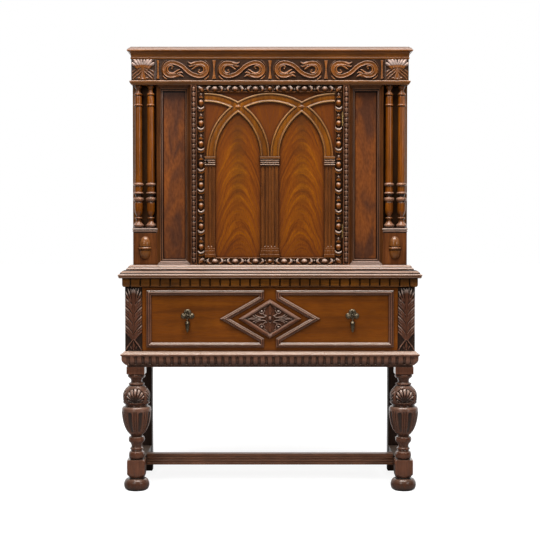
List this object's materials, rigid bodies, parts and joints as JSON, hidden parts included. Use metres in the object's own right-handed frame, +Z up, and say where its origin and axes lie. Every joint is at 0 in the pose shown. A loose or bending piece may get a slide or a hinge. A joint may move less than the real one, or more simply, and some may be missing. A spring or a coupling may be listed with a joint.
{
  "type": "bar cabinet",
  "caption": "Jacobean revival walnut bar cabinet with a carved arched door over a long drawer, on turned cup-and-cover legs joined by a stretcher.",
  "frame": {"origin": "on the floor, under the middle of the whole cabinet's width and depth", "axes": "+Z up, the front and its door face -Y, +X to the right of someone who looks at the front"},
  "size_m": [1.168, 0.48, 1.719],
  "materials": {
    "walnut": "dark stained walnut, satin shellac",
    "carved_walnut": "carved, dark stained, polished on the high edges",
    "column_walnut": "turned, warm stained, satin",
    "veneer": "warm walnut veneer, satin",
    "burl_veneer": "mottled dark walnut veneer, satin",
    "flame_veneer": "crotch mahogany veneer, satin",
    "inside_wood": "plain unpolished secondary wood",
    "brass": "dull brass",
    "aged_brass": "dark aged brass, rubbed on the high points",
    "steel": "plain steel"
  },
  "bodies": {
    "carcass": {"front_leg_left": "walnut", "front_leg_right": "walnut", "rear_leg_left": "walnut", "rear_leg_right": "walnut", "side_stretchers": "walnut", "centre_stretcher": "walnut", "carved_post_left": "carved_walnut", "carved_post_right": "carved_walnut", "stand_sides": "walnut", "stand_back": "inside_wood", "stand_bottom": "inside_wood", "drawer_rail": "walnut", "top_rails": "inside_wood", "drawer_runners": "inside_wood", "drawer_kickers": "inside_wood", "nulled_moulding": "carved_walnut", "dentil_band": "walnut", "stand_top": "walnut", "upper_base": "walnut", "upper_side_left": "walnut", "upper_side_right": "walnut", "upper_back": "inside_wood", "shelf": "inside_wood", "shelf_cleats": "inside_wood", "head_board": "walnut", "frieze_boards": "walnut", "frieze_carving": "carved_walnut", "top_board": "walnut", "cornice": "walnut", "niche_boards": "walnut", "plinth_left": "walnut", "plinth_right": "walnut", "plinth_bosses": "veneer", "columns_left": "column_walnut", "columns_right": "column_walnut", "bay_frame_left": "walnut", "bay_frame_right": "walnut", "bay_panels": "burl_veneer", "stile_left": "walnut", "stile_right": "walnut", "beaded_strips": "carved_walnut", "door_stops": "inside_wood", "hinge_fixed_leaves": "brass"},
    "door": {"door_board": "flame_veneer", "egg_and_dart_frame": "carved_walnut", "door_arches": "walnut", "door_pilasters": "walnut", "lock_case": "brass", "hinge_door_leaves": "brass"},
    "bolt": {"lock_bolt": "steel"},
    "drawer": {"drawer_front": "veneer", "drawer_mouldings": "walnut", "drawer_lozenge": "carved_walnut", "drawer_sides": "inside_wood", "drawer_back": "inside_wood", "drawer_bottom": "inside_wood", "pull_plates": "aged_brass"},
    "left_drop": {"drop_left": "aged_brass"},
    "right_drop": {"drop_right": "aged_brass"}
  },
  "joints": [
    {"name": "door_hinge", "type": "hinge", "parent": "carcass", "child": "door", "pos_m": [0.2805, -0.1855, 0], "axis": [0, 0, 1], "range_deg": [0, 100]},
    {"name": "bolt_slide", "type": "slide", "parent": "door", "child": "bolt", "axis": [-1, 0, 0], "range_m": [0, 0.008]},
    {"name": "drawer_slide", "type": "slide", "parent": "carcass", "child": "drawer", "axis": [0, -1, 0], "range_m": [0, 0.3]},
    {"name": "left_drop_swing", "type": "hinge", "parent": "drawer", "child": "left_drop", "pos_m": [-0.318, -0.2265, 0.684], "axis": [-1, 0, 0], "range_deg": [0, 85]},
    {"name": "right_drop_swing", "type": "hinge", "parent": "drawer", "child": "right_drop", "pos_m": [0.318, -0.2265, 0.684], "axis": [-1, 0, 0], "range_deg": [0, 85]}
  ]
}
